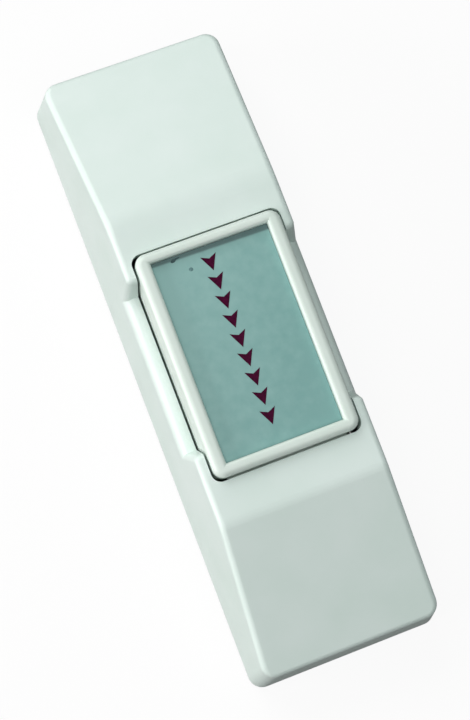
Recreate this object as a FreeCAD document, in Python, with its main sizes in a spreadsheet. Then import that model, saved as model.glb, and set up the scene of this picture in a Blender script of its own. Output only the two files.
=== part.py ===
# Door exit button: a narrow surface-mounted housing with one long push button.
# The part lies on its back: +Z points out of the wall, +Y towards the upper end, +X to the right.
# The origin is the middle of the face that meets the wall. Lengths are in millimetres.

import FreeCAD, Part
import Sketcher
import math
import os

# The driving dimensions: name, value and what it sets.
SIZES = [
    ("cover_length", 91.0, "cover, end to end at the rim"),
    ("cover_width", 28.75, "cover, side to side at the rim"),
    ("rim_gap", 0.2, "air between the cover's rim and the wall"),
    ("end_height", 10.1, "height of the two ends"),
    ("plateau_height", 17.6, "height of the level middle"),
    ("upper_break", 21.6, "from the middle to where the upper slope starts"),
    ("lower_break", 22.3, "from the middle to where the lower slope starts"),
    ("side_draft", 6.5, "lean of the long walls, in degrees"),
    ("upper_draft", 1.5, "lean of the upper end wall, in degrees"),
    ("lower_draft", 7.5, "lean of the lower end wall, in degrees"),
    ("cover_wall", 2.0, "wall of the cover"),
    ("corner_round", 2.1, "upright corners of the cover"),
    ("edge_round", 0.9, "edge round the cover's face"),
    ("upper_break_round", 10.0, "soft bend between plateau and upper slope"),
    ("lower_break_round", 4.0, "tighter bend between plateau and lower slope"),
    ("rail_height", 11.8, "height of the two rails beside the button"),
    ("rail_length", 23.0, "length of the rails"),
    ("rail_shift", 0.5, "middle of the rails, towards the upper end"),
    ("rail_round", 1.9, "outer edge of the rails"),
    ("ear_lean", 11.5, "lean of the ends of the ears, in degrees"),
    ("ear_round", 0.85, "top and outer edges of the ears' ends"),
    ("ear_width", 1.37, "cover left beside the opening, at the top"),
    ("opening_round", 1.4, "corners of the button's opening"),
    ("snap_width", 8.0, "width of each snap hook"),
    ("snap_height", 4.6, "height of the hooks above the floor"),
    ("snap_thickness", 1.2, "thickness of the hooks"),
    ("snap_reach", 0.6, "how far a barb stands out"),
    ("snap_gap", 0.2, "clearance of a barb in its recess"),
    ("button_length", 32.6, "button, end to end"),
    ("button_gap", 0.33, "gap between button and cover"),
    ("button_top", 19.0, "height of the button's rim at rest"),
    ("button_depth", 10.0, "depth of the button's skirt"),
    ("button_wall", 1.3, "wall of the skirt"),
    ("button_round", 1.6, "upright corners of the button"),
    ("button_edge_round", 0.9, "outer edge of the button's rim"),
    ("button_travel", 1.5, "stroke of the button"),
    ("stop_gap", 0.05, "air left under the skirt at full stroke"),
    ("rim_side", 2.04, "rim round the label window, at the sides"),
    ("rim_end", 1.7, "rim round the label window, at the ends"),
    ("window_shift", 0.1, "middle of the window, towards the upper end"),
    ("window_edge_round", 0.6, "inner edge of the button's rim"),
    ("label_recess", 1.1, "depth of the label below the rim"),
    ("label_thickness", 1.0, "thickness of the label plate"),
    ("label_gap", 0.05, "air round the label plate"),
    ("tray_thickness", 1.5, "floor under the label plate"),
    ("ledge_inset", 1.8, "ledges that hold the button in, back from its sides"),
    ("ledge_reach", 1.3, "how far the ledges stand out"),
    ("ledge_thickness", 1.4, "thickness of the ledges"),
    ("boss_span", 4.5, "span of the crossed ribs that press the leaf"),
    ("boss_rib", 1.2, "thickness of those ribs"),
    ("boss_tip_diameter", 2.4, "round tip of the presser"),
    ("boss_tip_length", 1.4, "length of the tip"),
    ("floor_thickness", 2.0, "floor of the base"),
    ("base_gap", 0.2, "air between base and cover"),
    ("base_round", 1.0, "corners of the base"),
    ("stop_rim_length", 24.0, "length of the rims that stop the skirt"),
    ("stop_rim_thickness", 1.3, "thickness of those rims"),
    ("screw_spacing", 72.0, "spacing of the two wall screws"),
    ("slot_length", 6.5, "wall screw slot, end to end"),
    ("slot_width", 4.2, "wall screw slot, side to side"),
    ("slot_step_width", 8.0, "step for the head of the wall screw"),
    ("slot_step_depth", 0.8, "depth of that step"),
    ("cable_length", 8.0, "cable entry, along the part"),
    ("cable_width", 12.0, "cable entry, across the part"),
    ("cable_distance", 26.0, "from the middle to the cable entry"),
    ("cable_round", 1.5, "corners of the cable entry"),
    ("terminal_distance", 26.0, "from the middle to the row of terminals"),
    ("terminal_pitch", 7.2, "spacing of the terminals"),
    ("pillar_width", 6.4, "block under each terminal"),
    ("pillar_height", 3.0, "height of those blocks above the floor"),
    ("barrier_thickness", 0.7, "wall between two terminals"),
    ("barrier_height", 6.5, "height of those walls above the floor"),
    ("strip_thickness", 0.8, "sheet of the contact strips"),
    ("strip_width", 3.0, "width of the contact strips"),
    ("pad_width", 5.8, "width of a terminal pad"),
    ("common_reach", 7.5, "common plate, from its screw to the leaf's root"),
    ("leaf_thickness", 0.25, "sheet of the leaf spring"),
    ("leaf_width", 4.5, "width of the leaf at its root"),
    ("leaf_tip_width", 3.6, "width of the leaf at its free end"),
    ("leaf_reach", 16.5, "from the leaf's root to the presser"),
    ("leaf_overhang", 1.5, "leaf beyond the presser"),
    ("leaf_clamped", 3.6, "leaf held on the common plate"),
    ("contact_reach", 10.1, "from the leaf's root to its contact"),
    ("contact_diameter", 2.4, "head of a contact"),
    ("contact_height", 0.5, "height of a contact's head"),
    ("contact_shank", 1.2, "shank of a contact"),
    ("contact_gap", 0.03, "air under the contact at full stroke"),
    ("rest_gap", 0.02, "air between parts that touch at rest"),
    ("hole_gap", 0.05, "air round a shank in its hole"),
    ("screw_diameter", 2.9, "terminal screw"),
    ("screw_head_diameter", 5.4, "head of the terminal screw"),
    ("screw_head_height", 1.9, "height of that head"),
    ("cross_width", 0.8, "arms of the cross recess"),
    ("cross_span", 3.0, "span of the cross recess"),
    ("cross_depth", 1.0, "depth of the cross recess"),
    ("clamp_width", 5.6, "wire clamp, square"),
    ("clamp_thickness", 0.8, "sheet of the wire clamp"),
    ("clamp_bevel", 0.9, "cut corners of the clamp"),
    ("nut_width", 5.0, "square nut"),
    ("nut_thickness", 1.6, "thickness of the nut"),
    ("nut_gap", 0.1, "air round the nut in its pocket"),
    ("rivet_distance", 1.8, "leaf rivet, back from the leaf's root"),
    ("rivet_diameter", 1.4, "shank of the leaf rivet"),
    ("rivet_head_diameter", 2.4, "heads of the leaf rivet"),
    ("rivet_head_height", 0.4, "height of those heads"),
    ("spring_gap", 0.45, "air between a return spring and the skirt"),
    ("spring_diameter", 4.8, "return spring, outside"),
    ("spring_wire", 0.4, "wire of the return spring"),
    ("spring_turns", 3.5, "turns of the return spring"),
    ("spring_pin_diameter", 3.2, "pins inside the spring"),
    ("spring_pin_length", 2.2, "length of those pins"),
]

# What follows from them. The leaf bends as a cantilever pressed at its end,
# so its contact drops by contact_ratio of the stroke.
PLACES = [
    ("half_length", "sizes.cover_length / 2"),
    ("half_width", "sizes.cover_width / 2"),
    ("side_slope", "tan(sizes.side_draft)"),
    ("upper_slope", "tan(sizes.upper_draft)"),
    ("lower_slope", "tan(sizes.lower_draft)"),
    ("ceiling", "sizes.plateau_height - sizes.cover_wall"),
    ("floor_top", "sizes.floor_thickness"),
    ("inner_half_width", "half_width - sizes.cover_wall / cos(sizes.side_draft)"),
    ("upper_inner", "half_length - sizes.cover_wall / cos(sizes.upper_draft)"),
    ("lower_inner", "half_length - sizes.cover_wall / cos(sizes.lower_draft)"),
    ("base_half_width", "inner_half_width - (floor_top - sizes.rim_gap) * side_slope - sizes.base_gap"),
    ("base_upper", "upper_inner - (floor_top - sizes.rim_gap) * upper_slope - sizes.base_gap"),
    ("base_lower", "lower_inner - (floor_top - sizes.rim_gap) * lower_slope - sizes.base_gap"),
    ("top_half_width", "half_width - (sizes.plateau_height - sizes.rim_gap) * side_slope"),
    ("opening_half_width", "top_half_width - sizes.ear_width"),
    ("button_half_width", "opening_half_width - sizes.button_gap"),
    ("button_half_length", "sizes.button_length / 2"),
    ("opening_half_length", "button_half_length + sizes.button_gap"),
    ("rail_outer", "half_width - (sizes.rail_height - sizes.rim_gap) * side_slope"),
    ("rail_width", "min(rail_outer - opening_half_width; sizes.cover_wall / cos(sizes.side_draft))"),
    ("rail_edge", "min(sizes.rail_round; 0.95 * rail_width)"),
    ("face_edge", "min(sizes.edge_round; 0.8 * sizes.ear_width)"),
    ("ear_edge", "min(sizes.ear_round; 0.95 * face_edge)"),
    ("window_half_width", "button_half_width - sizes.rim_side"),
    ("window_half_length", "button_half_length - sizes.rim_end"),
    ("narrow_rim", "sizes.rim_end - abs(sizes.window_shift)"),
    ("button_corner", "min(sizes.button_round; 0.8 * sizes.rim_side)"),
    ("rim_outer_edge", "min(sizes.button_edge_round; 0.58 * narrow_rim; 0.8 * button_corner)"),
    ("rim_inner_edge", "min(sizes.window_edge_round; 0.4 * narrow_rim)"),
    ("skirt_low", "sizes.button_top - sizes.button_depth"),
    ("stop_top", "skirt_low - sizes.button_travel - sizes.stop_gap"),
    ("stop_outer", "inner_half_width - (stop_top - sizes.rim_gap) * side_slope - sizes.base_gap"),
    ("label_top", "sizes.button_top - sizes.label_recess"),
    ("label_low", "label_top - sizes.label_thickness"),
    ("tray_low", "label_low - sizes.tray_thickness"),
    ("hook_top", "floor_top + sizes.snap_height"),
    ("upper_hook", "upper_inner - (hook_top - sizes.rim_gap) * upper_slope - sizes.base_gap"),
    ("lower_hook", "lower_inner - (hook_top - sizes.rim_gap) * lower_slope - sizes.base_gap"),
    ("terminal_y", "0 - sizes.terminal_distance"),
    ("pillar_top", "floor_top + sizes.pillar_height"),
    ("plate_top", "pillar_top + sizes.strip_thickness"),
    ("leaf_top", "plate_top + sizes.leaf_thickness"),
    ("clamp_top", "plate_top + sizes.clamp_thickness"),
    ("leaf_root", "terminal_y + sizes.common_reach"),
    ("boss_y", "leaf_root + sizes.leaf_reach"),
    ("contact_y", "leaf_root + sizes.contact_reach"),
    ("rivet_y", "leaf_root - sizes.rivet_distance"),
    ("contact_share", "sizes.contact_reach / sizes.leaf_reach"),
    ("contact_ratio", "contact_share * contact_share * (3 - contact_share) / 2"),
    ("contact_drop", "contact_ratio * sizes.button_travel"),
    ("moving_low", "plate_top - sizes.contact_height"),
    ("moving_top", "leaf_top + sizes.contact_height"),
    ("open_face", "moving_low - contact_drop - sizes.contact_gap"),
    ("open_strip_top", "open_face - sizes.contact_height"),
    ("open_strip_low", "open_strip_top - sizes.strip_thickness"),
    ("closed_face", "moving_top + sizes.rest_gap"),
    ("closed_strip_low", "closed_face + sizes.contact_height"),
    ("screw_low", "pillar_top - sizes.nut_thickness"),
    ("spring_x", "button_half_width - sizes.button_wall - sizes.spring_gap - sizes.spring_diameter / 2"),
    ("boss_low", "leaf_top + sizes.rest_gap"),
]

ACROSS = FreeCAD.Vector(1, 0, 0)
ALONG = FreeCAD.Vector(0, 1, 0)
UPRIGHT = FreeCAD.Vector(0, 0, 1)
NEAR = 0.01  # how close two places are when they count as the same
HIGH = "2 * sizes.plateau_height"  # clear above everything
WIDE = "2 * sizes.cover_width"
LONG = "2 * sizes.cover_length"

doc = FreeCAD.newDocument("door_exit_button")


def fill_sheets():
    sizes = doc.addObject("Spreadsheet::Sheet", "sizes")
    for row, (alias, value, note) in enumerate(SIZES, start=1):
        sizes.set(f"A{row}", str(value))
        sizes.setAlias(f"A{row}", alias)
        sizes.set(f"B{row}", note)
    places = doc.addObject("Spreadsheet::Sheet", "places")
    for row, (alias, formula) in enumerate(PLACES, start=1):
        places.set(f"A{row}", "=" + formula)
        places.setAlias(f"A{row}", alias)
    doc.recompute()
    return sizes, places


sizes, places = fill_sheets()


def size(alias):
    return float(sizes.get(alias))


def place(alias):
    return float(places.get(alias))


def new_body(label):
    body = doc.addObject("PartDesign::Body", label)
    body.Label = label
    return body


def new_sketch(body, name, role, height="0"):
    """A sketch on one of the body's own planes, moved along the plane's normal by height."""
    sketch = body.newObject("Sketcher::SketchObject", name)
    plane = next(f for f in body.Origin.OriginFeatures if f.Role == role)
    sketch.AttachmentSupport = [(plane, "")]
    sketch.MapMode = "FlatFace"
    sketch.setExpression("AttachmentOffset.Base.z", height)
    return sketch


def point_on(sketch, u, v):
    """The point of a sketch that two expressions give."""
    return FreeCAD.Vector(float(sketch.evalExpression(u)), float(sketch.evalExpression(v)), 0)


def bind(sketch, kind, geometry, point, expression):
    """Holds one coordinate of a point, from the origin, to an expression."""
    value = float(sketch.evalExpression(expression))
    index = sketch.addConstraint(Sketcher.Constraint(kind, -1, 1, geometry, point, value))
    sketch.setExpression(f"Constraints[{index}]", expression)


def draw_outline(sketch, corners):
    """A closed outline of straight lines through corners, each a pair of expressions."""
    points = [point_on(sketch, u, v) for u, v in corners]
    first = sketch.GeometryCount
    count = len(points)
    for i in range(count):
        sketch.addGeometry(Part.LineSegment(points[i], points[(i + 1) % count]), False)
    for i in range(count):
        sketch.addConstraint(Sketcher.Constraint("Coincident", first + i, 2, first + (i + 1) % count, 1))
    for i, (u, v) in enumerate(corners):
        bind(sketch, "DistanceX", first + i, 1, u)
        bind(sketch, "DistanceY", first + i, 1, v)


def draw_box(sketch, low_u, high_u, low_v, high_v):
    draw_outline(sketch, [(low_u, low_v), (high_u, low_v), (high_u, high_v), (low_u, high_v)])


def draw_centred_box(sketch, width, length, shift="0"):
    """A box about the sketch's vertical axis, its middle moved along it by shift."""
    half_width = f"({width}) / 2"
    half_length = f"({length}) / 2"
    draw_box(sketch, f"-{half_width}", half_width, f"{shift} - {half_length}", f"{shift} + {half_length}")


def draw_circle(sketch, u, v, diameter):
    radius = float(sketch.evalExpression(diameter)) / 2
    circle = sketch.addGeometry(Part.Circle(point_on(sketch, u, v), UPRIGHT, radius), False)
    bind(sketch, "DistanceX", circle, 3, u)
    bind(sketch, "DistanceY", circle, 3, v)
    index = sketch.addConstraint(Sketcher.Constraint("Diameter", circle, 2 * radius))
    sketch.setExpression(f"Constraints[{index}]", diameter)


def draw_slot(sketch, v, length, width):
    """A slot with round ends, along the sketch's vertical axis, its middle at height v."""
    middle = float(sketch.evalExpression(v))
    radius = float(sketch.evalExpression(width)) / 2
    reach = float(sketch.evalExpression(length)) / 2 - radius
    top = FreeCAD.Vector(0, middle + reach, 0)
    low = FreeCAD.Vector(0, middle - reach, 0)
    side = FreeCAD.Vector(radius, 0, 0)
    upper_end = Part.ArcOfCircle(Part.Circle(top, UPRIGHT, radius), 0, math.pi)
    lower_end = Part.ArcOfCircle(Part.Circle(low, UPRIGHT, radius), math.pi, 2 * math.pi)
    upper = sketch.addGeometry(upper_end, False)
    lower = sketch.addGeometry(lower_end, False)
    right = sketch.addGeometry(Part.LineSegment(low + side, top + side), False)
    left = sketch.addGeometry(Part.LineSegment(top - side, low - side), False)
    sketch.addConstraint(Sketcher.Constraint("Tangent", lower, 2, right, 1))
    sketch.addConstraint(Sketcher.Constraint("Tangent", right, 2, upper, 1))
    sketch.addConstraint(Sketcher.Constraint("Tangent", upper, 2, left, 1))
    sketch.addConstraint(Sketcher.Constraint("Tangent", left, 2, lower, 1))
    half = f"(({length}) - ({width})) / 2"
    bind(sketch, "DistanceX", upper, 3, "0")
    bind(sketch, "DistanceX", lower, 3, "0")
    bind(sketch, "DistanceY", upper, 3, f"{v} + {half}")
    bind(sketch, "DistanceY", lower, 3, f"{v} - {half}")
    index = sketch.addConstraint(Sketcher.Constraint("Radius", upper, radius))
    sketch.setExpression(f"Constraints[{index}]", f"({width}) / 2")


def draw_round_box(sketch, width, length, radius):
    """A box about the sketch's origin, its four corners rounded."""
    bend = float(sketch.evalExpression(radius))
    half_width = f"(({width}) / 2 - {radius})"
    half_length = f"(({length}) / 2 - {radius})"
    centres = [(half_width, f"-{half_length}"), (half_width, half_length)]
    centres += [(f"-{half_width}", half_length), (f"-{half_width}", f"-{half_length}")]
    arcs = []
    for quarter, (u, v) in enumerate(centres):
        start = (quarter - 1) * math.pi / 2
        circle = Part.Circle(point_on(sketch, u, v), UPRIGHT, bend)
        arc = Part.ArcOfCircle(circle, start, start + math.pi / 2)
        arcs.append(sketch.addGeometry(arc, False))
    for quarter, (u, v) in enumerate(centres):
        arc, following = arcs[quarter], arcs[(quarter + 1) % 4]
        ends = sketch.Geometry[arc].EndPoint, sketch.Geometry[following].StartPoint
        line = sketch.addGeometry(Part.LineSegment(*ends), False)
        sketch.addConstraint(Sketcher.Constraint("Tangent", arc, 2, line, 1))
        sketch.addConstraint(Sketcher.Constraint("Tangent", line, 2, following, 1))
        bind(sketch, "DistanceX", arc, 3, u)
        bind(sketch, "DistanceY", arc, 3, v)
        index = sketch.addConstraint(Sketcher.Constraint("Radius", arc, bend))
        sketch.setExpression(f"Constraints[{index}]", radius)


def pad(body, sketch, name, length, midplane=False):
    feature = body.newObject("PartDesign::Pad", name)
    feature.Profile = sketch
    feature.Midplane = midplane
    feature.setExpression("Length", length)
    doc.recompute()
    return feature


def pocket(body, sketch, name, length, midplane=False, upward=False):
    """Cuts the sketch away, against its plane's normal unless it is upward."""
    feature = body.newObject("PartDesign::Pocket", name)
    feature.Profile = sketch
    feature.Type = "Length"
    feature.Midplane = midplane
    feature.Reversed = upward
    feature.setExpression("Length", length)
    before = feature.BaseFeature.Shape.Volume
    doc.recompute()
    if not feature.Shape.Volume < before - NEAR:
        raise RuntimeError(f"{name} cuts nothing")
    return feature


def revolve(body, sketch, name):
    """Turns a profile drawn on the XZ plane once round the sketch's vertical axis."""
    feature = body.newObject("PartDesign::Revolution", name)
    feature.Profile = sketch
    feature.ReferenceAxis = (sketch, ["V_Axis"])
    feature.Angle = 360
    doc.recompute()
    return feature


def fillet(body, feature, name, edges, radius):
    """Rounds the edges, given by their names, to an expression."""
    if not edges:
        raise RuntimeError(f"{name} finds no edge")
    rounded = body.newObject("PartDesign::Fillet", name)
    rounded.Base = (feature, edges)
    rounded.setExpression("Radius", radius)
    doc.recompute()
    return rounded


def edges_along(feature, direction, test):
    """Names of the straight edges along a direction whose two ends both pass the test."""
    found = []
    for number, edge in enumerate(feature.Shape.Edges, start=1):
        ends = [vertex.Point for vertex in edge.Vertexes]
        if len(ends) < 2 or edge.Curve.TypeId != "Part::GeomLine":
            continue
        span = ends[1] - ends[0]
        if abs(span.normalize().dot(direction)) > 0.9 and all(test(point) for point in ends):
            found.append(f"Edge{number}")
    return found


def near(a, b):
    return abs(a - b) < NEAR


def front_cover():
    """The moulded shell: two sloping ends, a level middle, and rails cut down beside the button."""
    body = new_body("front_cover")
    rise = "(sizes.end_height - sizes.rim_gap)"
    profile = new_sketch(body, "cover_profile", "YZ_Plane")
    draw_outline(profile, [
        ("-places.half_length", "sizes.rim_gap"),
        ("places.half_length", "sizes.rim_gap"),
        (f"places.half_length - {rise} * places.upper_slope", "sizes.end_height"),
        ("sizes.upper_break", "sizes.plateau_height"),
        ("-sizes.lower_break", "sizes.plateau_height"),
        (f"-places.half_length + {rise} * places.lower_slope", "sizes.end_height"),
    ])
    hull = pad(body, profile, "cover_hull", "sizes.cover_width", midplane=True)

    wedges = new_sketch(body, "side_wedges", "XZ_Plane")
    for side in ("1", "-1"):
        draw_outline(wedges, [
            (f"{side} * places.half_width", "sizes.rim_gap"),
            (f"{side} * {WIDE}", "sizes.rim_gap"),
            (f"{side} * {WIDE}", HIGH),
            (f"{side} * (places.half_width - ({HIGH} - sizes.rim_gap) * places.side_slope)", HIGH),
        ])
    hull = pocket(body, wedges, "side_draft", LONG, midplane=True)

    faces = enumerate(hull.Shape.Faces, start=1)
    open_side = [f"Face{number}" for number, face in faces if near(face.CenterOfMass.z, size("rim_gap"))]
    shell = body.newObject("PartDesign::Thickness", "cover_shell")
    shell.Base = (hull, open_side)
    shell.Join = "Intersection"
    shell.Reversed = True
    shell.setExpression("Value", "sizes.cover_wall")
    doc.recompute()

    top = size("plateau_height")
    faces = [("outer", top, ""), ("inner", top - size("cover_wall"), " - sizes.cover_wall")]
    for end, side in (("upper", 1), ("lower", -1)):
        for face, height, less in faces:
            edges = edges_along(shell, ACROSS, lambda p: near(p.z, height) and p.y * side > 0)
            shell = fillet(body, shell, f"{end}_{face}_bend", edges, f"sizes.{end}_break_round{less}")

    def on_end(p):
        slope = place("upper_slope") if p.y > 0 else place("lower_slope")
        return near(abs(p.y), place("half_length") - (p.z - size("rim_gap")) * slope)

    def on_corner(p):
        lean = (p.z - size("rim_gap")) * place("side_slope")
        return on_end(p) and near(abs(p.x), place("half_width") - lean)

    shell = fillet(body, shell, "corners", edges_along(shell, UPRIGHT, on_corner), "sizes.corner_round")

    opening = new_sketch(body, "button_opening", "XY_Plane")
    wide, long = "2 * places.opening_half_width", "2 * places.opening_half_length"
    draw_round_box(opening, wide, long, "sizes.opening_round")
    shell = pocket(body, opening, "opening", HIGH, upward=True)

    lean = f"({HIGH} - sizes.rail_height) * tan(sizes.ear_lean)"
    notch = new_sketch(body, "rail_notch", "YZ_Plane")
    draw_outline(notch, [
        ("sizes.rail_shift - sizes.rail_length / 2", "sizes.rail_height"),
        ("sizes.rail_shift + sizes.rail_length / 2", "sizes.rail_height"),
        (f"sizes.rail_shift + sizes.rail_length / 2 + {lean}", HIGH),
        (f"sizes.rail_shift - sizes.rail_length / 2 - {lean}", HIGH),
    ])
    shell = pocket(body, notch, "rails", WIDE, midplane=True)

    edges = edges_along(shell, ACROSS, lambda p: near(p.z, size("end_height")) and on_end(p))
    shell = fillet(body, shell, "face_edges", edges, "places.face_edge")

    rail, outer = size("rail_height"), place("rail_outer")
    edges = edges_along(shell, ALONG, lambda p: near(p.z, rail) and near(abs(p.x), outer))
    shell = fillet(body, shell, "rail_edges", edges, "places.rail_edge")

    # These meet the rounded face edge, so the upright edges of the ears are rounded with them.
    ear_end = size("rail_length") / 2 + (top - rail) * math.tan(math.radians(size("ear_lean")))
    shift = size("rail_shift")
    edges = edges_along(shell, ACROSS, lambda p: near(p.z, top) and near(abs(p.y - shift), ear_end))
    fillet(body, shell, "ear_ends", edges, "places.ear_edge")

    recess = new_sketch(body, "snap_recess", "XZ_Plane", "(places.lower_hook - places.upper_hook) / 2")
    draw_box(
        recess,
        "-(sizes.snap_width / 2 + sizes.snap_gap)",
        "sizes.snap_width / 2 + sizes.snap_gap",
        "places.hook_top - 2 * sizes.snap_reach - 2 * sizes.snap_gap",
        "places.hook_top + sizes.snap_gap",
    )
    span = "places.upper_hook + places.lower_hook + 2 * (sizes.snap_reach + sizes.snap_gap)"
    pocket(body, recess, "snap_recesses", span, midplane=True)
    return body


def base_plate():
    """The moulded base: floor, wall screw slots, cable entry, snap hooks and the seats of the switch."""
    body = new_body("base_plate")
    outline = new_sketch(body, "base_outline", "XY_Plane")
    draw_box(
        outline,
        "-places.base_half_width",
        "places.base_half_width",
        "-places.base_lower",
        "places.base_upper",
    )
    base = pad(body, outline, "base_floor", "sizes.floor_thickness")

    def on_corner(p):
        end = place("base_upper") if p.y > 0 else place("base_lower")
        return near(abs(p.x), place("base_half_width")) and near(abs(p.y), end)

    base = fillet(body, base, "base_corners", edges_along(base, UPRIGHT, on_corner), "sizes.base_round")

    rims = new_sketch(body, "stop_rims", "XY_Plane", "places.floor_top")
    half = "sizes.stop_rim_length / 2"
    draw_box(rims, "places.stop_outer - sizes.stop_rim_thickness", "places.stop_outer", f"-{half}", half)
    draw_box(rims, "-places.stop_outer", "sizes.stop_rim_thickness - places.stop_outer", f"-{half}", half)
    pad(body, rims, "skirt_stops", "places.stop_top - places.floor_top")

    slots = new_sketch(body, "wall_slots", "XY_Plane")
    steps = new_sketch(body, "wall_slot_steps", "XY_Plane", "places.floor_top")
    step_length = "sizes.slot_length + sizes.slot_step_width - sizes.slot_width"
    for end in ("sizes.screw_spacing / 2", "-sizes.screw_spacing / 2"):
        draw_slot(slots, end, "sizes.slot_length", "sizes.slot_width")
        draw_slot(steps, end, step_length, "sizes.slot_step_width")
    pocket(body, slots, "screw_slots", "sizes.floor_thickness", upward=True)
    pocket(body, steps, "screw_head_steps", "sizes.slot_step_depth")

    hooks = new_sketch(body, "snap_profile", "YZ_Plane")
    root = "places.floor_top - sizes.slot_step_depth"
    barb_low = "places.hook_top - 2 * sizes.snap_reach"
    for end, outer in (("1", "places.upper_hook"), ("-1", "places.lower_hook")):
        draw_outline(hooks, [
            (f"{end} * ({outer} - sizes.snap_thickness)", root),
            (f"{end} * {outer}", root),
            (f"{end} * {outer}", barb_low),
            (f"{end} * ({outer} + sizes.snap_reach)", barb_low),
            (f"{end} * ({outer} + sizes.snap_reach)", f"{barb_low} + sizes.snap_reach / 2"),
            (f"{end} * {outer}", "places.hook_top"),
            (f"{end} * ({outer} - sizes.snap_thickness)", "places.hook_top"),
        ])
    pad(body, hooks, "snap_hooks", "sizes.snap_width", midplane=True)

    pillars = new_sketch(body, "terminal_blocks", "XY_Plane", "places.floor_top")
    back = "places.terminal_y - sizes.pillar_width / 2"
    front = "places.terminal_y + sizes.pillar_width / 2"
    side_inner = "sizes.terminal_pitch - sizes.pillar_width / 2"
    side_outer = "sizes.terminal_pitch + sizes.pillar_width / 2"
    draw_box(pillars, side_inner, side_outer, back, front)
    draw_box(pillars, f"-({side_outer})", f"-({side_inner})", back, front)
    middle_front = "places.leaf_root - sizes.hole_gap"
    draw_box(pillars, "-sizes.pillar_width / 2", "sizes.pillar_width / 2", back, middle_front)
    pad(body, pillars, "terminal_pillars", "sizes.pillar_height")

    barriers = new_sketch(body, "terminal_barriers", "XY_Plane", "places.floor_top")
    inner = "(sizes.terminal_pitch - sizes.barrier_thickness) / 2"
    outer = "(sizes.terminal_pitch + sizes.barrier_thickness) / 2"
    draw_box(barriers, inner, outer, back, front)
    draw_box(barriers, f"-{outer}", f"-{inner}", back, front)
    pad(body, barriers, "barriers", "sizes.barrier_height")

    arm_back = "places.contact_y - sizes.strip_width / 2"
    arm_front = "places.contact_y + sizes.strip_width / 2"
    neck_inner = "sizes.terminal_pitch - sizes.strip_width / 2"
    neck_outer = "sizes.terminal_pitch + sizes.strip_width / 2"
    seat = new_sketch(body, "open_contact_seat", "XY_Plane", "places.floor_top")
    draw_box(seat, "-sizes.strip_width / 2", neck_outer, arm_back, arm_front)
    pad(body, seat, "contact_seat", "places.open_strip_low - places.floor_top")
    post = new_sketch(body, "closed_contact_post", "XY_Plane", "places.floor_top")
    draw_box(post, f"-({neck_outer})", f"-({neck_inner})", arm_back, arm_front)
    pad(body, post, "contact_post", "places.closed_strip_low - places.floor_top")

    pins = new_sketch(body, "spring_pins", "XY_Plane", "places.floor_top")
    for side in ("places.spring_x", "-places.spring_x"):
        draw_circle(pins, side, "0", "sizes.spring_pin_diameter")
    pad(body, pins, "lower_spring_pins", "sizes.spring_pin_length")

    nuts = new_sketch(body, "nut_pockets", "XY_Plane", "places.pillar_top")
    nut_side = "sizes.nut_width / 2 + sizes.nut_gap"
    for middle in ("0", "sizes.terminal_pitch", "-sizes.terminal_pitch"):
        draw_box(nuts, f"{middle} - ({nut_side})", f"{middle} + {nut_side}",
                 f"places.terminal_y - ({nut_side})", f"places.terminal_y + {nut_side}")
    pocket(body, nuts, "nut_seats", "sizes.nut_thickness + sizes.hole_gap")

    tail = new_sketch(body, "rivet_well", "XY_Plane", "places.pillar_top")
    draw_circle(tail, "0", "places.rivet_y", "sizes.rivet_head_diameter + 4 * sizes.hole_gap")
    pocket(body, tail, "rivet_tail_well", "sizes.rivet_head_height + sizes.nut_gap")

    cable = new_sketch(body, "cable_outline", "XY_Plane")
    draw_centred_box(cable, "sizes.cable_width", "sizes.cable_length", "sizes.cable_distance")
    base = pocket(body, cable, "cable_entry", "sizes.floor_thickness", upward=True)

    def on_cable(p):
        across = near(abs(p.x), size("cable_width") / 2)
        return across and near(abs(p.y - size("cable_distance")), size("cable_length") / 2)

    fillet(body, base, "cable_corners", edges_along(base, UPRIGHT, on_cable), "sizes.cable_round")
    return body


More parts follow.
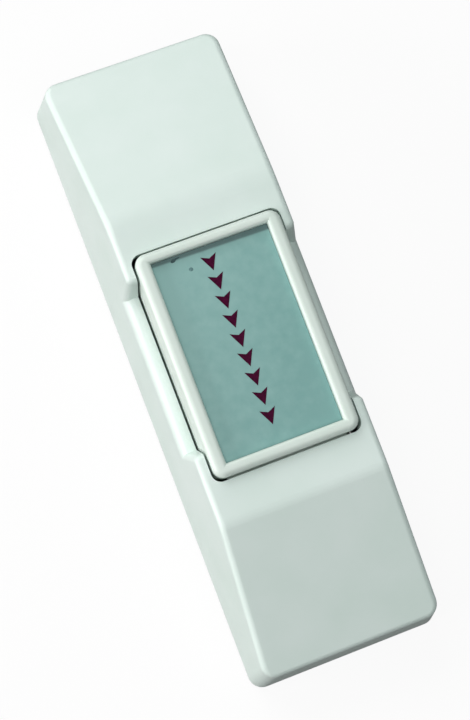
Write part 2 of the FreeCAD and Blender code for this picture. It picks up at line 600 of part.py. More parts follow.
def button_frame():
    """The moulded button: a rim round the label, a tray under it, and a skirt that slides in the cover."""
    body = new_body("button_frame")
    outline = new_sketch(body, "button_outline", "XY_Plane", "places.skirt_low")
    draw_centred_box(outline, "2 * places.button_half_width", "sizes.button_length")
    button = pad(body, outline, "button_block", "sizes.button_depth")

    def on_corner(p):
        return near(abs(p.x), place("button_half_width")) and near(abs(p.y), place("button_half_length"))

    edges = edges_along(button, UPRIGHT, on_corner)
    button = fillet(body, button, "button_corners", edges, "places.button_corner")

    def on_top(p):
        return near(p.z, size("button_top")) and near(abs(p.x), place("button_half_width"))

    edges = edges_along(button, ALONG, on_top)
    button = fillet(body, button, "rim_outer_round", edges, "places.rim_outer_edge")

    hollow = new_sketch(body, "skirt_hollow", "XY_Plane", "places.skirt_low")
    inner = "(places.button_half_width - sizes.button_wall)"
    draw_centred_box(hollow, f"2 * {inner}", "sizes.button_length - 2 * sizes.button_wall")
    pocket(body, hollow, "hollow", "places.tray_low - places.skirt_low", upward=True)

    window = new_sketch(body, "window_outline", "XY_Plane", "sizes.button_top")
    wide, long = "2 * places.window_half_width", "2 * places.window_half_length"
    draw_centred_box(window, wide, long, "sizes.window_shift")
    button = pocket(body, window, "window", "sizes.button_top - places.label_low")

    def on_lip(p):
        across = abs(p.x) < place("window_half_width") + NEAR
        inside = abs(p.y) < place("button_half_length") - size("rim_end") / 2
        return near(p.z, size("button_top")) and across and inside

    edges = edges_along(button, ALONG, on_lip) + edges_along(button, ACROSS, on_lip)
    fillet(body, button, "rim_inner_round", edges, "places.rim_inner_edge")

    ledges = new_sketch(body, "ledge_outline", "XY_Plane", "places.ceiling - sizes.ledge_thickness")
    side = "(places.button_half_width - sizes.ledge_inset)"
    inner = "(places.button_half_length - sizes.button_wall)"
    outer = "(places.button_half_length + sizes.ledge_reach)"
    draw_box(ledges, f"-{side}", side, inner, outer)
    draw_box(ledges, f"-{side}", side, f"-{outer}", f"-{inner}")
    pad(body, ledges, "ledges", "sizes.ledge_thickness - sizes.rest_gap")

    rib_low = "places.boss_low + sizes.boss_tip_length"
    for name, across, along in (
        ("presser_rib_across", "sizes.boss_span", "sizes.boss_rib"),
        ("presser_rib_along", "sizes.boss_rib", "sizes.boss_span"),
    ):
        rib = new_sketch(body, f"{name}_outline", "XY_Plane", rib_low)
        draw_centred_box(rib, across, along, "places.boss_y")
        pad(body, rib, name, f"places.label_low - ({rib_low}) - sizes.tray_thickness / 2")
    tip = new_sketch(body, "presser_tip_outline", "XY_Plane", "places.boss_low")
    draw_circle(tip, "0", "places.boss_y", "sizes.boss_tip_diameter")
    pad(body, tip, "presser_tip", "2 * sizes.boss_tip_length")

    pins = new_sketch(body, "upper_pin_outline", "XY_Plane", "places.tray_low - sizes.spring_pin_length")
    for side in ("places.spring_x", "-places.spring_x"):
        draw_circle(pins, side, "0", "sizes.spring_pin_diameter")
    pad(body, pins, "upper_spring_pins", "sizes.spring_pin_length + sizes.tray_thickness / 2")
    return body


def label_plate():
    """The plate that shows in the window of the button. It is bare here."""
    body = new_body("label_plate")
    outline = new_sketch(body, "label_outline", "XY_Plane", "places.label_low")
    width = "2 * (places.window_half_width - sizes.label_gap)"
    length = "2 * (places.window_half_length - sizes.label_gap)"
    draw_centred_box(outline, width, length, "sizes.window_shift")
    pad(body, outline, "label_sheet", "sizes.label_thickness")
    return body


def contact_strip(name, side, arm_low):
    """A bent strip from its terminal pad to an arm that carries a fixed contact. Side is 1 or -1."""
    body = new_body(name)
    thickness = "sizes.strip_thickness"
    rise = f"(({arm_low}) - places.pillar_top)"
    run = f"abs({rise})"
    # The lean keeps the sheet's thickness round the two 45 degree bends.
    lean = f"{rise} / {run} * {thickness} * tan(22.5)"
    back = "places.terminal_y - sizes.pad_width / 2"
    front = "places.terminal_y + sizes.pad_width / 2"
    arm_back = "places.contact_y - sizes.strip_width / 2"
    arm_front = "places.contact_y + sizes.strip_width / 2"
    bend_end = f"{arm_back} - {thickness} / 2"
    bend_start = f"{bend_end} - {run}"
    reach = "(sizes.terminal_pitch + sizes.pad_width / 2)"

    profile = new_sketch(body, f"{name}_profile", "YZ_Plane")
    draw_outline(profile, [
        (back, "places.pillar_top"),
        (bend_start, "places.pillar_top"),
        (bend_end, arm_low),
        (arm_front, arm_low),
        (arm_front, f"{arm_low} + {thickness}"),
        (f"{bend_end} - ({lean})", f"{arm_low} + {thickness}"),
        (f"{bend_start} - ({lean})", "places.plate_top"),
        (back, "places.plate_top"),
    ])
    pad(body, profile, f"{name}_sheet", f"2 * {reach}", midplane=True)

    neck_inner = f"{side} * (sizes.terminal_pitch - sizes.strip_width / 2)"
    neck_outer = f"{side} * (sizes.terminal_pitch + sizes.strip_width / 2)"
    pad_inner = f"{side} * (sizes.terminal_pitch - sizes.pad_width / 2)"
    pad_outer = f"{side} * (sizes.terminal_pitch + sizes.pad_width / 2)"
    arm_tip = f"{side} * (-sizes.strip_width / 2)"
    offcut = new_sketch(body, f"{name}_offcut", "XY_Plane")
    draw_box(offcut, f"-{WIDE}", WIDE, f"-{LONG}", LONG)
    draw_outline(offcut, [
        (pad_inner, back),
        (pad_outer, back),
        (pad_outer, front),
        (neck_outer, front),
        (neck_outer, arm_front),
        (arm_tip, arm_front),
        (arm_tip, arm_back),
        (neck_inner, arm_back),
        (neck_inner, front),
        (pad_inner, front),
    ])
    pocket(body, offcut, f"{name}_blank", HIGH, upward=True)

    holes = new_sketch(body, f"{name}_holes", "XY_Plane")
    hole = "sizes.screw_diameter + 6 * sizes.hole_gap"
    draw_circle(holes, f"{side} * sizes.terminal_pitch", "places.terminal_y", hole)
    pocket(body, holes, f"{name}_drilling", HIGH, upward=True)
    return body


def common_terminal():
    """The flat plate under the middle terminal. It carries the root of the leaf."""
    body = new_body("common_terminal")
    outline = new_sketch(body, "common_outline", "XY_Plane", "places.pillar_top")
    draw_box(outline, "-sizes.pad_width / 2", "sizes.pad_width / 2",
             "places.terminal_y - sizes.pad_width / 2", "places.leaf_root")
    pad(body, outline, "common_sheet", "sizes.strip_thickness")
    holes = new_sketch(body, "common_holes", "XY_Plane", "places.plate_top")
    draw_circle(holes, "0", "places.terminal_y", "sizes.screw_diameter + 6 * sizes.hole_gap")
    draw_circle(holes, "0", "places.rivet_y", "sizes.rivet_diameter + 2 * sizes.hole_gap")
    pocket(body, holes, "common_drilling", "sizes.strip_thickness")
    return body


def contact_leaf():
    """The leaf spring: riveted at its root, pressed near its free end, with the moving contact between."""
    body = new_body("contact_leaf")
    outline = new_sketch(body, "leaf_outline", "XY_Plane", "places.plate_top")
    tip = "places.boss_y + sizes.leaf_overhang"
    draw_outline(outline, [
        ("-sizes.leaf_width / 2", "places.leaf_root - sizes.leaf_clamped"),
        ("sizes.leaf_width / 2", "places.leaf_root - sizes.leaf_clamped"),
        ("sizes.leaf_width / 2", "places.leaf_root"),
        ("sizes.leaf_tip_width / 2", tip),
        ("-sizes.leaf_tip_width / 2", tip),
        ("-sizes.leaf_width / 2", "places.leaf_root"),
    ])
    pad(body, outline, "leaf_sheet", "sizes.leaf_thickness")
    holes = new_sketch(body, "leaf_holes", "XY_Plane", "places.leaf_top")
    draw_circle(holes, "0", "places.rivet_y", "sizes.rivet_diameter + 2 * sizes.hole_gap")
    draw_circle(holes, "0", "places.contact_y", "sizes.contact_shank + 2 * sizes.hole_gap")
    pocket(body, holes, "leaf_drilling", "sizes.leaf_thickness")
    return body


def turned_piece(name, middle_y, steps):
    """A round piece on an upright axis: steps are its levels and diameters, from the bottom up."""
    body = new_body(name)
    profile = new_sketch(body, f"{name}_profile", "XZ_Plane", f"-({middle_y})")
    corners = [("0", steps[0][0])]
    for low, high, diameter in steps:
        corners += [(f"({diameter}) / 2", low), (f"({diameter}) / 2", high)]
    corners.append(("0", steps[-1][1]))
    draw_outline(profile, corners)
    revolve(body, profile, f"{name}_turned")
    return body


def contacts_and_rivet():
    head = "sizes.contact_diameter"
    shank = "sizes.contact_shank"
    rivet_low = "places.pillar_top - sizes.rivet_head_height"
    return [
        turned_piece("moving_contact", "places.contact_y", [
            ("places.moving_low", "places.plate_top", head),
            ("places.plate_top", "places.leaf_top", shank),
            ("places.leaf_top", "places.moving_top", head),
        ]),
        turned_piece("open_contact", "places.contact_y", [
            ("places.open_strip_top", "places.open_face", head),
        ]),
        turned_piece("closed_contact", "places.contact_y", [
            ("places.closed_face", "places.closed_strip_low", head),
        ]),
        turned_piece("leaf_rivet", "places.rivet_y", [
            (rivet_low, "places.pillar_top", "sizes.rivet_head_diameter"),
            ("places.pillar_top", "places.leaf_top", "sizes.rivet_diameter"),
            ("places.leaf_top", "places.leaf_top + sizes.rivet_head_height", "sizes.rivet_head_diameter"),
        ]),
    ]


def terminal_screw(name, middle_x):
    """A cheese-head screw with a cross recess, over its wire clamp."""
    body = new_body(f"terminal_screw_{name}")
    profile = new_sketch(body, f"screw_{name}_profile", "XZ_Plane")
    top = "places.clamp_top + sizes.screw_head_height"
    draw_outline(profile, [
        ("0", "places.screw_low"),
        ("sizes.screw_diameter / 2", "places.screw_low"),
        ("sizes.screw_diameter / 2", "places.clamp_top"),
        ("sizes.screw_head_diameter / 2", "places.clamp_top"),
        ("sizes.screw_head_diameter / 2", top),
        ("0", top),
    ])
    revolve(body, profile, f"screw_{name}_turned")
    for arm, across, along in (("across", "sizes.cross_span", "sizes.cross_width"),
                               ("along", "sizes.cross_width", "sizes.cross_span")):
        cross = new_sketch(body, f"screw_{name}_{arm}", "XY_Plane", top)
        draw_centred_box(cross, across, along)
        pocket(body, cross, f"screw_{name}_recess_{arm}", "sizes.cross_depth")
    body.setExpression("Placement.Base.x", middle_x)
    body.setExpression("Placement.Base.y", "places.terminal_y")
    return body


def terminal_clamp(name, middle_x):
    """The square plate that holds the wire under the screw's head."""
    body = new_body(f"terminal_clamp_{name}")
    outline = new_sketch(body, f"clamp_{name}_outline", "XY_Plane", "places.plate_top")
    half = "sizes.clamp_width / 2"
    cut = f"({half} - sizes.clamp_bevel)"
    draw_outline(outline, [
        (f"-{cut}", f"-{half}"), (cut, f"-{half}"), (half, f"-{cut}"), (half, cut),
        (cut, half), (f"-{cut}", half), (f"-{half}", cut), (f"-{half}", f"-{cut}"),
    ])
    pad(body, outline, f"clamp_{name}_sheet", "sizes.clamp_thickness")
    hole = new_sketch(body, f"clamp_{name}_hole", "XY_Plane", "places.clamp_top")
    draw_circle(hole, "0", "0", "sizes.screw_diameter + 4 * sizes.hole_gap")
    pocket(body, hole, f"clamp_{name}_drilling", "sizes.clamp_thickness")
    body.setExpression("Placement.Base.x", middle_x)
    body.setExpression("Placement.Base.y", "places.terminal_y")
    return body


def terminal_nut(name, middle_x):
    """The square nut held in the block under the terminal."""
    body = new_body(f"terminal_nut_{name}")
    low = "places.pillar_top - sizes.nut_thickness"
    outline = new_sketch(body, f"nut_{name}_outline", "XY_Plane", low)
    draw_centred_box(outline, "sizes.nut_width", "sizes.nut_width")
    draw_circle(outline, "0", "0", "sizes.screw_diameter + 2 * sizes.hole_gap")
    pad(body, outline, f"nut_{name}_block", "sizes.nut_thickness")
    body.setExpression("Placement.Base.x", middle_x)
    body.setExpression("Placement.Base.y", "places.terminal_y")
    return body


def return_spring(name, middle_x):
    """A coil spring between the base's floor and the button's tray, its wire drawn three-sided."""
    body = new_body(f"return_spring_{name}")
    wire = new_sketch(body, f"spring_{name}_wire", "XZ_Plane")
    inner = "sizes.spring_diameter / 2 - sizes.spring_wire"
    draw_outline(wire, [
        (inner, "places.floor_top"),
        ("sizes.spring_diameter / 2", "places.floor_top + sizes.spring_wire / 2"),
        (inner, "places.floor_top + sizes.spring_wire"),
    ])
    coil = body.newObject("PartDesign::AdditiveHelix", f"spring_{name}_coil")
    coil.Profile = wire
    coil.ReferenceAxis = (wire, ["V_Axis"])
    coil.Mode = "height-turns-angle"
    coil.setExpression("Height", "places.tray_low - places.floor_top - sizes.spring_wire")
    coil.setExpression("Turns", "sizes.spring_turns")
    coil.Angle = 0
    doc.recompute()
    body.setExpression("Placement.Base.x", middle_x)
    return body


def build():
    pieces = [
        front_cover(),
        base_plate(),
        button_frame(),
        label_plate(),
        common_terminal(),
        contact_strip("open_terminal", "1", "places.open_strip_low"),
        contact_strip("closed_terminal", "-1", "places.closed_strip_low"),
        contact_leaf(),
    ]
    pieces += contacts_and_rivet()
    terminals = (("open", "sizes.terminal_pitch"), ("common", "0"), ("closed", "-sizes.terminal_pitch"))
    for name, middle_x in terminals:
        pieces.append(terminal_screw(name, middle_x))
        pieces.append(terminal_clamp(name, middle_x))
        pieces.append(terminal_nut(name, middle_x))
    pieces.append(return_spring("right", "places.spring_x"))
    pieces.append(return_spring("left", "-places.spring_x"))
    doc.recompute()
    return pieces


def check(pieces):
    for item in doc.Objects:
        if "Invalid" in item.State or "Error" in item.State:
            raise RuntimeError(f"{item.Name} failed: {item.State}")
    for piece in pieces:
        shape = piece.Shape
        if shape.isNull() or not shape.isValid() or len(shape.Solids) != 1 or shape.Volume <= 0:
            raise RuntimeError(f"{piece.Label} has no sound shape")


def write(pieces):
    os.makedirs("parts", exist_ok=True)
    for piece in pieces:
        piece.Shape.exportStep(f"parts/{piece.Label}.step")
        print(f"{piece.Label}: {piece.Shape.Volume:.1f} mm3")


pieces = build()
check(pieces)
write(pieces)
print(f"contact ratio {place('contact_ratio'):.5f}, contact drop {place('contact_drop'):.4f} mm")
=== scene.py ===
import math

import bmesh
import bpy
from mathutils import Matrix, Vector


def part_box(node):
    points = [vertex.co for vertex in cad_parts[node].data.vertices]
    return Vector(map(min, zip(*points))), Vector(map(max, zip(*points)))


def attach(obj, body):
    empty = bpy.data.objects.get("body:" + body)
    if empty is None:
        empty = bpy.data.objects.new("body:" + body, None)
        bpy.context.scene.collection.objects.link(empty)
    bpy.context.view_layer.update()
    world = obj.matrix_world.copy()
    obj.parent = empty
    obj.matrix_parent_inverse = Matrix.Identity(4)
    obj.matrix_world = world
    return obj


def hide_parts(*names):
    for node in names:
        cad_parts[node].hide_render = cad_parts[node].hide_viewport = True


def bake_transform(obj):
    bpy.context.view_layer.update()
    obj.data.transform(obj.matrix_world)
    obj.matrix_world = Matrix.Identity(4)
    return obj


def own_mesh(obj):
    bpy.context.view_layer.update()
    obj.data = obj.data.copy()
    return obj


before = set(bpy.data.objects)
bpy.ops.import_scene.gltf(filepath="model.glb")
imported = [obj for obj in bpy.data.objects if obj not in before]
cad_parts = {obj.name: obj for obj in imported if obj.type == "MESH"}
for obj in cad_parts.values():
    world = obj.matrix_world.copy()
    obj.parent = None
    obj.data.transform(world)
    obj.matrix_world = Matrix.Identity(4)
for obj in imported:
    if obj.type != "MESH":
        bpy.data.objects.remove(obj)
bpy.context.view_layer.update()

MM = 0.001

# The camera stands almost above the button, a little to its left and towards its lower end.
AIM = Vector((0.302, 0.124, 0.0)) * MM
CAMERA_DISTANCE = 276.0 * MM
CAMERA_YAW = math.radians(8.47)
CAMERA_PITCH = math.radians(5.64)
CAMERA_ROLL = math.radians(-21.005)
LENS = 94.22

# Each lamp: the way to it from the button, its distance, its width, its power and its colour.
LAMPS = {
    "key": ((-0.35, 1.35, 1.0), 0.75, 0.60, 3.5, (1.0, 0.985, 0.98)),
    "overhead": ((-0.02, -0.30, 1.0), 0.80, 0.90, 3.15, (1.0, 1.0, 0.99)),
    "side": ((-1.0, 0.08, 0.16), 0.70, 0.50, 5.85, (1.0, 0.95, 0.95)),
    "right": ((1.0, 0.10, 0.35), 0.80, 0.60, 0.5, (0.9, 1.0, 1.0)),
}
SKY = 0.08
SKY_COLOUR = (0.9, 1.0, 1.06)

# The floor looks white, but lights the button as a dark grey one would.
FLOOR_SIZE = 3.0
FLOOR_WHITE = (0.86, 0.86, 0.86)
FLOOR_GREY = (0.08, 0.08, 0.08)
FLOOR_ROUGHNESS = 0.9
FLOOR_GLOW = 0.9  # share of the white that shows no shadow
WHITE_IN_GLOSS = 0.15  # share of the white ground that reflections show

COVER_COLOUR = (0.66, 0.77, 0.726)
BUTTON_COLOUR = (0.66, 0.755, 0.698)
BASE_COLOUR = (0.55, 0.62, 0.59)
LABEL_COLOUR = (0.201, 0.393, 0.370)
PRINT_COLOUR = (0.05, 0.0008, 0.02)
SPECK_COLOUR = (0.125, 0.24, 0.24)
SMUDGE_COLOUR = (0.055, 0.10, 0.105)
BRASS = (0.68, 0.47, 0.19)
BRONZE = (0.60, 0.34, 0.16)
SILVER = (0.80, 0.79, 0.76)
ZINC = (0.60, 0.60, 0.58)
SPRING_STEEL = (0.42, 0.42, 0.43)

COVER_ROUGHNESS = 0.38
BUTTON_ROUGHNESS = 0.34
BASE_ROUGHNESS = 0.5
LABEL_ROUGHNESS = 0.36
PRINT_ROUGHNESS = 0.45
DIRT_ROUGHNESS = 0.9
PLASTIC_SHINE = 0.35
PRINT_SHINE = 0.06

# How far a tint drifts, as a share of its red, green and blue.
PLASTIC_DRIFT = (0.035, 0.02, 0.03)
LABEL_DRIFT = (0.18, 0.11, 0.11)
PRINT_DRIFT = (0.35, 0.3, 0.3)
DIRT_DRIFT = (0.4, 0.3, 0.3)
METAL_DRIFT = (0.10, 0.10, 0.12)

# Noise hardly ever leaves this range.
NOISE_LOW = 0.3
NOISE_HIGH = 0.7
GRAIN_STRENGTH = 0.6

# Painted light: the label is painted paler towards its upper left corner, under a slight cloud of noise.
LABEL_PAINTED_LIGHT = (-18.0, 10.0, 0.0)  # how fast, per metre
LABEL_PAINTED_LIGHT_MIDDLE = 0.25  # keeps the middle of the label halfway
LABEL_CLOUD = 0.5

# Painted shade under the label's upper lip, in place of the lip's shadow. It reaches further down at the
# right.
LIP_SHADE_COLOUR = (0.04, 0.075, 0.08)
LIP_SHADE_SHARE = 0.7
LIP_SHADE_LEAN = 0.018
LIP_SHADE_START = 13.82 * MM
LIP_SHADE_FULL = 14.15 * MM

# The column of arrowheads on the label.
ARROWHEADS = 9
ARROWHEAD_PITCH = 2.84 * MM
ARROWHEAD_HALF_WIDTH = 1.15 * MM
ARROWHEAD_HALF_HEIGHT = 1.15 * MM
ARROWHEAD_NOTCH = 0.55  # where the notch ends, from the middle, as a share of the half height
ARROWHEAD_MIDDLE = (-0.65 * MM, 0.77 * MM)
PRINT_HEIGHT = 0.02 * MM

# Each grain of dirt, in millimetres: its place on the label, across and along, its half width,
# its half length and its turn in radians.
SPECKS = [(-3.55, 12.18, 0.31, 0.28, 0.0)]
SMUDGES = [
    (-5.45, 14.10, 0.42, 0.24, 0.25),
    (-4.85, 14.28, 0.40, 0.12, 0.10),
]
DIRT_HEIGHT = 0.02 * MM

WIRE = 0.4 * MM
WIRE_SIDES = 10
SPRING_TURNS = 6
SPRING_STEPS = 24  # steps in a turn

# The leaf is held at its root, and the button presses it near its free end.
LEAF_CUT = 0.5 * MM
MERGE_DISTANCE = 0.001 * MM
CUT_TOLERANCE = 0.0001 * MM


def add_camera():
    """The photograph's view of the button, turned so that its upper end leans to the left."""
    back = Vector((
        -math.sin(CAMERA_YAW) * math.cos(CAMERA_PITCH),
        -math.sin(CAMERA_PITCH),
        math.cos(CAMERA_YAW) * math.cos(CAMERA_PITCH),
    ))
    right = Vector((0, 1, 0)).cross(back).normalized()
    up = back.cross(right)
    turn = Matrix.Rotation(CAMERA_ROLL, 3, back)
    axes = Matrix((turn @ right, turn @ up, back)).transposed()
    data = bpy.data.cameras.new("camera")
    data.lens = LENS
    data.clip_start = 0.01
    data.clip_end = 20
    camera = bpy.data.objects.new("camera", data)
    camera.matrix_world = Matrix.Translation(AIM + CAMERA_DISTANCE * back) @ axes.to_4x4()
    bpy.context.collection.objects.link(camera)
    bpy.context.scene.camera = camera


def add_lamp(name, way, distance, width, power, colour):
    """A round soft lamp that faces the button."""
    data = bpy.data.lights.new(name, "AREA")
    data.shape = "DISK"
    data.size = width
    data.energy = power
    data.color = colour
    lamp = bpy.data.objects.new(name, data)
    spot = AIM + Vector(way).normalized() * distance
    turn = (spot - AIM).to_track_quat("Z", "Y").to_matrix().to_4x4()
    lamp.matrix_world = Matrix.Translation(spot) @ turn
    bpy.context.collection.objects.link(lamp)


def seen_share(nodes, links):
    """1 for what the camera sees, and a smaller share for what a mirroring surface sees."""
    path = nodes.new("ShaderNodeLightPath")
    mirrored = nodes.new("ShaderNodeMath")
    mirrored.operation = "MAXIMUM"
    links.new(path.outputs["Is Glossy Ray"], mirrored.inputs[0])
    links.new(path.outputs["Is Transmission Ray"], mirrored.inputs[1])
    seen = nodes.new("ShaderNodeMath")
    seen.operation = "MULTIPLY_ADD"
    seen.inputs[1].default_value = WHITE_IN_GLOSS
    links.new(mirrored.outputs[0], seen.inputs[0])
    links.new(path.outputs["Is Camera Ray"], seen.inputs[2])
    return seen.outputs[0]


def add_sky():
    """A dim sky that looks white."""
    world = bpy.data.worlds.new("world")
    world.use_nodes = True
    nodes, links = world.node_tree.nodes, world.node_tree.links
    dim = nodes["Background"]
    dim.inputs["Color"].default_value = (*SKY_COLOUR, 1)
    dim.inputs["Strength"].default_value = SKY
    white = nodes.new("ShaderNodeBackground")
    white.inputs["Color"].default_value = (1, 1, 1, 1)
    white.inputs["Strength"].default_value = 1
    mix = nodes.new("ShaderNodeMixShader")
    links.new(seen_share(nodes, links), mix.inputs[0])
    links.new(dim.outputs[0], mix.inputs[1])
    links.new(white.outputs[0], mix.inputs[2])
    links.new(mix.outputs[0], nodes["World Output"].inputs["Surface"])
    bpy.context.scene.world = world


def add_floor():
    """A floor that looks white and keeps a soft shadow, but throws little light back up."""
    bpy.ops.mesh.primitive_plane_add(size=FLOOR_SIZE, location=(0, 0, 0))
    floor = bpy.context.object
    floor.name = "floor"
    material, shader = start_material("floor_white", FLOOR_GREY, FLOOR_ROUGHNESS)
    nodes, links = material.node_tree.nodes, material.node_tree.links
    white = nodes.new("ShaderNodeBsdfDiffuse")
    white.inputs["Color"].default_value = (*FLOOR_WHITE, 1)
    glow = nodes.new("ShaderNodeEmission")
    glow.inputs["Strength"].default_value = 1
    shown = nodes.new("ShaderNodeMixShader")
    shown.inputs[0].default_value = FLOOR_GLOW
    links.new(white.outputs[0], shown.inputs[1])
    links.new(glow.outputs[0], shown.inputs[2])
    mix = nodes.new("ShaderNodeMixShader")
    links.new(seen_share(nodes, links), mix.inputs[0])
    links.new(shader.outputs[0], mix.inputs[1])
    links.new(shown.outputs[0], mix.inputs[2])
    links.new(mix.outputs[0], nodes["Material Output"].inputs["Surface"])
    floor.data.materials.append(material)


def start_material(name, colour, roughness, metallic=0.0):
    """A new material and its shader."""
    material = bpy.data.materials.new(name)
    material.use_nodes = True
    shader = material.node_tree.nodes["Principled BSDF"]
    shader.inputs["Base Color"].default_value = (*colour, 1)
    shader.inputs["Roughness"].default_value = roughness
    shader.inputs["Metallic"].default_value = metallic
    return material, shader


def noise(material, scale, detail=3.0, stretch=(1, 1, 1)):
    """Noise on the object's own coordinates, in grains per metre."""
    nodes, links = material.node_tree.nodes, material.node_tree.links
    place = nodes.new("ShaderNodeTexCoord")
    mapping = nodes.new("ShaderNodeMapping")
    mapping.inputs["Scale"].default_value = stretch
    texture = nodes.new("ShaderNodeTexNoise")
    texture.inputs["Scale"].default_value = scale
    texture.inputs["Detail"].default_value = detail
    links.new(place.outputs["Object"], mapping.inputs["Vector"])
    links.new(mapping.outputs["Vector"], texture.inputs["Vector"])
    return texture.outputs["Fac"]


def mottle(material, shader, colour, drift, source):
    """Lets the colour drift a little, darker and lighter, with the noise."""
    nodes, links = material.node_tree.nodes, material.node_tree.links
    ramp = nodes.new("ShaderNodeValToRGB")
    darker, lighter = ramp.color_ramp.elements
    darker.position = NOISE_LOW
    lighter.position = NOISE_HIGH
    darker.color = (*(part * (1 - change) for part, change in zip(colour, drift)), 1)
    lighter.color = (*(part * (1 + change) for part, change in zip(colour, drift)), 1)
    links.new(source, ramp.inputs["Fac"])
    links.new(ramp.outputs["Color"], shader.inputs["Base Color"])


def vary_gloss(material, shader, low, high, source):
    """Lets the roughness drift between two values with the noise."""
    nodes, links = material.node_tree.nodes, material.node_tree.links
    spread = nodes.new("ShaderNodeMapRange")
    spread.inputs["From Min"].default_value = NOISE_LOW
    spread.inputs["From Max"].default_value = NOISE_HIGH
    spread.inputs["To Min"].default_value = low
    spread.inputs["To Max"].default_value = high
    links.new(source, spread.inputs["Value"])
    links.new(spread.outputs["Result"], shader.inputs["Roughness"])


def grain(material, shader, height, source):
    """A fine relief that follows the noise."""
    nodes, links = material.node_tree.nodes, material.node_tree.links
    bump = nodes.new("ShaderNodeBump")
    bump.inputs["Distance"].default_value = height
    bump.inputs["Strength"].default_value = GRAIN_STRENGTH
    links.new(source, bump.inputs["Height"])
    links.new(bump.outputs["Normal"], shader.inputs["Normal"])


def moulded_plastic(name, colour, roughness):
    """Smooth moulded plastic: hardly any grain, a slight drift of tint and gloss."""
    material, shader = start_material(name, colour, roughness)
    shader.inputs["Specular IOR Level"].default_value = PLASTIC_SHINE
    mottle(material, shader, colour, PLASTIC_DRIFT, noise(material, scale=110))
    vary_gloss(material, shader, roughness - 0.06, roughness + 0.08, noise(material, scale=450))
    grain(material, shader, 0.006 * MM, noise(material, scale=5500, detail=2))
    return material


def satin_plate(name, colour):
    """The label: a satin plate, with painted light that makes it paler towards its upper left corner, and
    painted shade under its upper lip.
    """
    material, shader = start_material(name, colour, LABEL_ROUGHNESS)
    nodes, links = material.node_tree.nodes, material.node_tree.links
    place = nodes.new("ShaderNodeTexCoord")
    # Painted light: the label's colour is made paler towards its upper left corner.
    painted_light = nodes.new("ShaderNodeVectorMath")
    painted_light.operation = "DOT_PRODUCT"
    painted_light.inputs[1].default_value = LABEL_PAINTED_LIGHT
    links.new(place.outputs["Object"], painted_light.inputs[0])
    cloud_and_light = nodes.new("ShaderNodeMath")
    cloud_and_light.operation = "MULTIPLY_ADD"
    cloud_and_light.inputs[1].default_value = LABEL_CLOUD
    links.new(noise(material, scale=620, detail=4), cloud_and_light.inputs[0])
    shift = nodes.new("ShaderNodeMath")
    shift.operation = "ADD"
    shift.inputs[1].default_value = LABEL_PAINTED_LIGHT_MIDDLE
    links.new(painted_light.outputs["Value"], shift.inputs[0])
    links.new(shift.outputs[0], cloud_and_light.inputs[2])
    mottle(material, shader, colour, LABEL_DRIFT, cloud_and_light.outputs[0])
    # Painted shade: a darker band under the upper lip, where the lip's shadow falls.
    reach = nodes.new("ShaderNodeVectorMath")
    reach.operation = "DOT_PRODUCT"
    reach.inputs[1].default_value = (LIP_SHADE_LEAN, 1, 0)
    links.new(place.outputs["Object"], reach.inputs[0])
    band = nodes.new("ShaderNodeMapRange")
    band.interpolation_type = "SMOOTHSTEP"
    band.inputs["From Min"].default_value = LIP_SHADE_START
    band.inputs["From Max"].default_value = LIP_SHADE_FULL
    band.inputs["To Max"].default_value = LIP_SHADE_SHARE
    links.new(reach.outputs["Value"], band.inputs["Value"])
    shaded = nodes.new("ShaderNodeMix")
    shaded.data_type = "RGBA"
    shaded.inputs["B"].default_value = (*LIP_SHADE_COLOUR, 1)
    links.new(band.outputs["Result"], shaded.inputs["Factor"])
    links.new(shader.inputs["Base Color"].links[0].from_socket, shaded.inputs["A"])
    links.new(shaded.outputs["Result"], shader.inputs["Base Color"])
    vary_gloss(material, shader, LABEL_ROUGHNESS - 0.06, LABEL_ROUGHNESS + 0.09, noise(material, scale=900))
    grain(material, shader, 0.003 * MM, noise(material, scale=7000, detail=2))
    return material


def screen_ink(name, colour):
    """Dull printed ink, a little uneven."""
    material, shader = start_material(name, colour, PRINT_ROUGHNESS)
    shader.inputs["Specular IOR Level"].default_value = PRINT_SHINE
    mottle(material, shader, colour, PRINT_DRIFT, noise(material, scale=2500))
    grain(material, shader, 0.004 * MM, noise(material, scale=9000, detail=2))
    return material


def dust(name, colour):
    """Dry dirt, darker and lighter from place to place."""
    material, shader = start_material(name, colour, DIRT_ROUGHNESS)
    mottle(material, shader, colour, DIRT_DRIFT, noise(material, scale=4000))
    return material


def metal(name, colour, roughness, stretch, scale=900):
    """Bare metal with the fine lines of its making along one way."""
    material, shader = start_material(name, colour, roughness, metallic=1.0)
    lines = noise(material, scale, detail=4, stretch=stretch)
    mottle(material, shader, colour, METAL_DRIFT, noise(material, scale=300))
    vary_gloss(material, shader, roughness - 0.08, roughness + 0.10, lines)
    grain(material, shader, 0.004 * MM, lines)
    return material


def paint(nodes, material):
    """Gives the solids of these nodes a material."""
    for node in nodes:
        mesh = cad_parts[node].data
        mesh.materials.clear()
        mesh.materials.append(material)


def new_piece(name, shape, material, smooth=False):
    """Turns a finished shape into a piece of the scene."""
    mesh = bpy.data.meshes.new(name)
    shape.to_mesh(mesh)
    shape.free()
    if smooth:
        mesh.shade_smooth()
    mesh.materials.append(material)
    piece = bpy.data.objects.new(name, mesh)
    bpy.context.collection.objects.link(piece)
    return piece


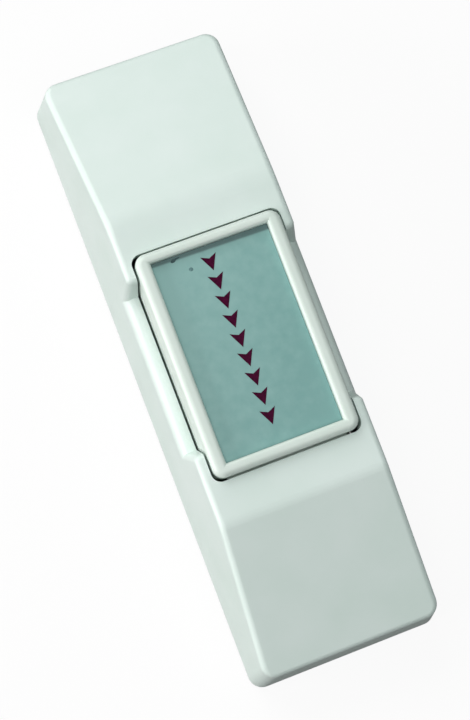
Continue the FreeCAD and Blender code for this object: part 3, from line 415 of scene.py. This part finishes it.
def arrowheads(material):
    """A column of small plain arrowheads printed on the label, all pointing to its lower end."""
    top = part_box("label_plate")[1].z
    shape = bmesh.new()
    across, along = ARROWHEAD_MIDDLE
    for number in range(ARROWHEADS):
        middle = along + ((ARROWHEADS - 1) / 2 - number) * ARROWHEAD_PITCH
        head = bmesh.ops.create_circle(shape, cap_ends=True, segments=4, radius=1)["verts"]
        for corner in head:
            if abs(corner.co.x) > 0.5:
                corner.co.y = 1
            elif corner.co.y > 0:
                corner.co.y = ARROWHEAD_NOTCH
        bmesh.ops.scale(shape, vec=(ARROWHEAD_HALF_WIDTH, ARROWHEAD_HALF_HEIGHT, 1), verts=head)
        bmesh.ops.translate(shape, vec=(across, middle, top), verts=head)
    raised = bmesh.ops.extrude_face_region(shape, geom=shape.faces[:])["geom"]
    corners = [item for item in raised if isinstance(item, bmesh.types.BMVert)]
    bmesh.ops.translate(shape, vec=(0, 0, PRINT_HEIGHT), verts=corners)
    bmesh.ops.recalc_face_normals(shape, faces=shape.faces[:])
    piece = new_piece("label_arrowheads", shape, material)
    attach(piece, "button")


def dirt(name, grains, material):
    """Flat grains of dirt that lie on the label."""
    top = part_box("label_plate")[1].z
    shape = bmesh.new()
    for across, along, half_width, half_length, turn in grains:
        corners = bmesh.ops.create_icosphere(shape, subdivisions=2, radius=1)["verts"]
        bmesh.ops.scale(shape, vec=(half_width * MM, half_length * MM, DIRT_HEIGHT), verts=corners)
        bmesh.ops.rotate(shape, matrix=Matrix.Rotation(turn, 3, "Z"), verts=corners)
        bmesh.ops.translate(shape, vec=(across * MM, along * MM, top), verts=corners)
    piece = new_piece(name, shape, material, smooth=True)
    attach(piece, "button")


def round_wire_spring(node, material):
    """A coil spring of round wire with a closed turn at each end, in the place of the plain one."""
    low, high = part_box(node)
    middle = (low + high) / 2
    radius = (high.x - low.x - WIRE) / 2
    shape = bmesh.new()
    wire = bmesh.ops.create_circle(shape, segments=WIRE_SIDES, radius=WIRE / 2)["verts"]
    upright = Matrix.Rotation(math.pi / 2, 3, "X")
    bmesh.ops.rotate(shape, matrix=upright, verts=wire)
    bmesh.ops.translate(shape, vec=(middle.x + radius, middle.y, low.z + WIRE / 2), verts=wire)
    ring = shape.verts[:] + shape.edges[:]
    climb = high.z - low.z - 3 * WIRE
    for turns, rise in ((1, WIRE), (SPRING_TURNS, climb), (1, WIRE)):
        steps = turns * SPRING_STEPS
        ring = bmesh.ops.spin(
            shape, geom=ring, cent=middle, axis=(0, 0, 1), dvec=(0, 0, rise / steps),
            angle=turns * 2 * math.pi, steps=steps,
        )["geom_last"]
    bmesh.ops.holes_fill(shape, edges=[edge for edge in shape.edges if edge.is_boundary])
    bmesh.ops.recalc_face_normals(shape, faces=shape.faces[:])
    piece = new_piece(f"{node}_wire", shape, material, smooth=True)
    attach(piece, "base")
    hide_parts(node)
    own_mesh(piece)


def bending_leaf(material):
    """The contact leaf, cut into short lengths, in the place of the plain one."""
    low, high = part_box("contact_leaf")
    shape = bmesh.new()
    shape.from_mesh(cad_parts["contact_leaf"].data)
    bmesh.ops.remove_doubles(shape, verts=shape.verts[:], dist=MERGE_DISTANCE)
    cuts = int((high.y - low.y) / LEAF_CUT)
    for number in range(1, cuts):
        everything = shape.verts[:] + shape.edges[:] + shape.faces[:]
        spot = (0, low.y + number * LEAF_CUT, 0)
        bmesh.ops.bisect_plane(
            shape, geom=everything, dist=CUT_TOLERANCE, plane_co=spot, plane_no=(0, 1, 0),
        )
    for face in shape.faces:
        face.smooth = False
    piece = new_piece("contact_leaf_bending", shape, material)
    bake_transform(piece)
    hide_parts("contact_leaf")


add_camera()
for name, lamp in LAMPS.items():
    add_lamp(name, *lamp)
add_sky()
add_floor()
bpy.context.scene.view_settings.view_transform = "Standard"

paint(["front_cover"], moulded_plastic("cover_plastic", COVER_COLOUR, COVER_ROUGHNESS))
paint(["button_frame"], moulded_plastic("button_plastic", BUTTON_COLOUR, BUTTON_ROUGHNESS))
paint(["base_plate"], moulded_plastic("base_plastic", BASE_COLOUR, BASE_ROUGHNESS))
paint(["label_plate"], satin_plate("label_plastic", LABEL_COLOUR))
arrowheads(screen_ink("label_print", PRINT_COLOUR))
dirt("label_specks", SPECKS, dust("label_dust", SPECK_COLOUR))
dirt("label_smudges", SMUDGES, dust("label_grime", SMUDGE_COLOUR))

brass = metal("stamped_brass", BRASS, roughness=0.30, stretch=(1, 0.08, 1))
paint(["common_terminal", "open_terminal", "closed_terminal", "leaf_rivet"], brass)
silver = metal("contact_silver", SILVER, roughness=0.25, stretch=(1, 1, 0.1))
paint(["moving_contact", "open_contact", "closed_contact"], silver)
zinc = metal("zinc_plate", ZINC, roughness=0.32, stretch=(1, 1, 0.2))
for end in ("common", "open", "closed"):
    paint([f"terminal_screw_{end}", f"terminal_clamp_{end}", f"terminal_nut_{end}"], zinc)
bending_leaf(metal("rolled_bronze", BRONZE, roughness=0.28, stretch=(1, 0.05, 1)))
drawn_wire = metal("drawn_wire", SPRING_STEEL, roughness=0.3, stretch=(1, 1, 0.3), scale=3000)
for side in ("left", "right"):
    round_wire_spring(f"return_spring_{side}", drawn_wire)
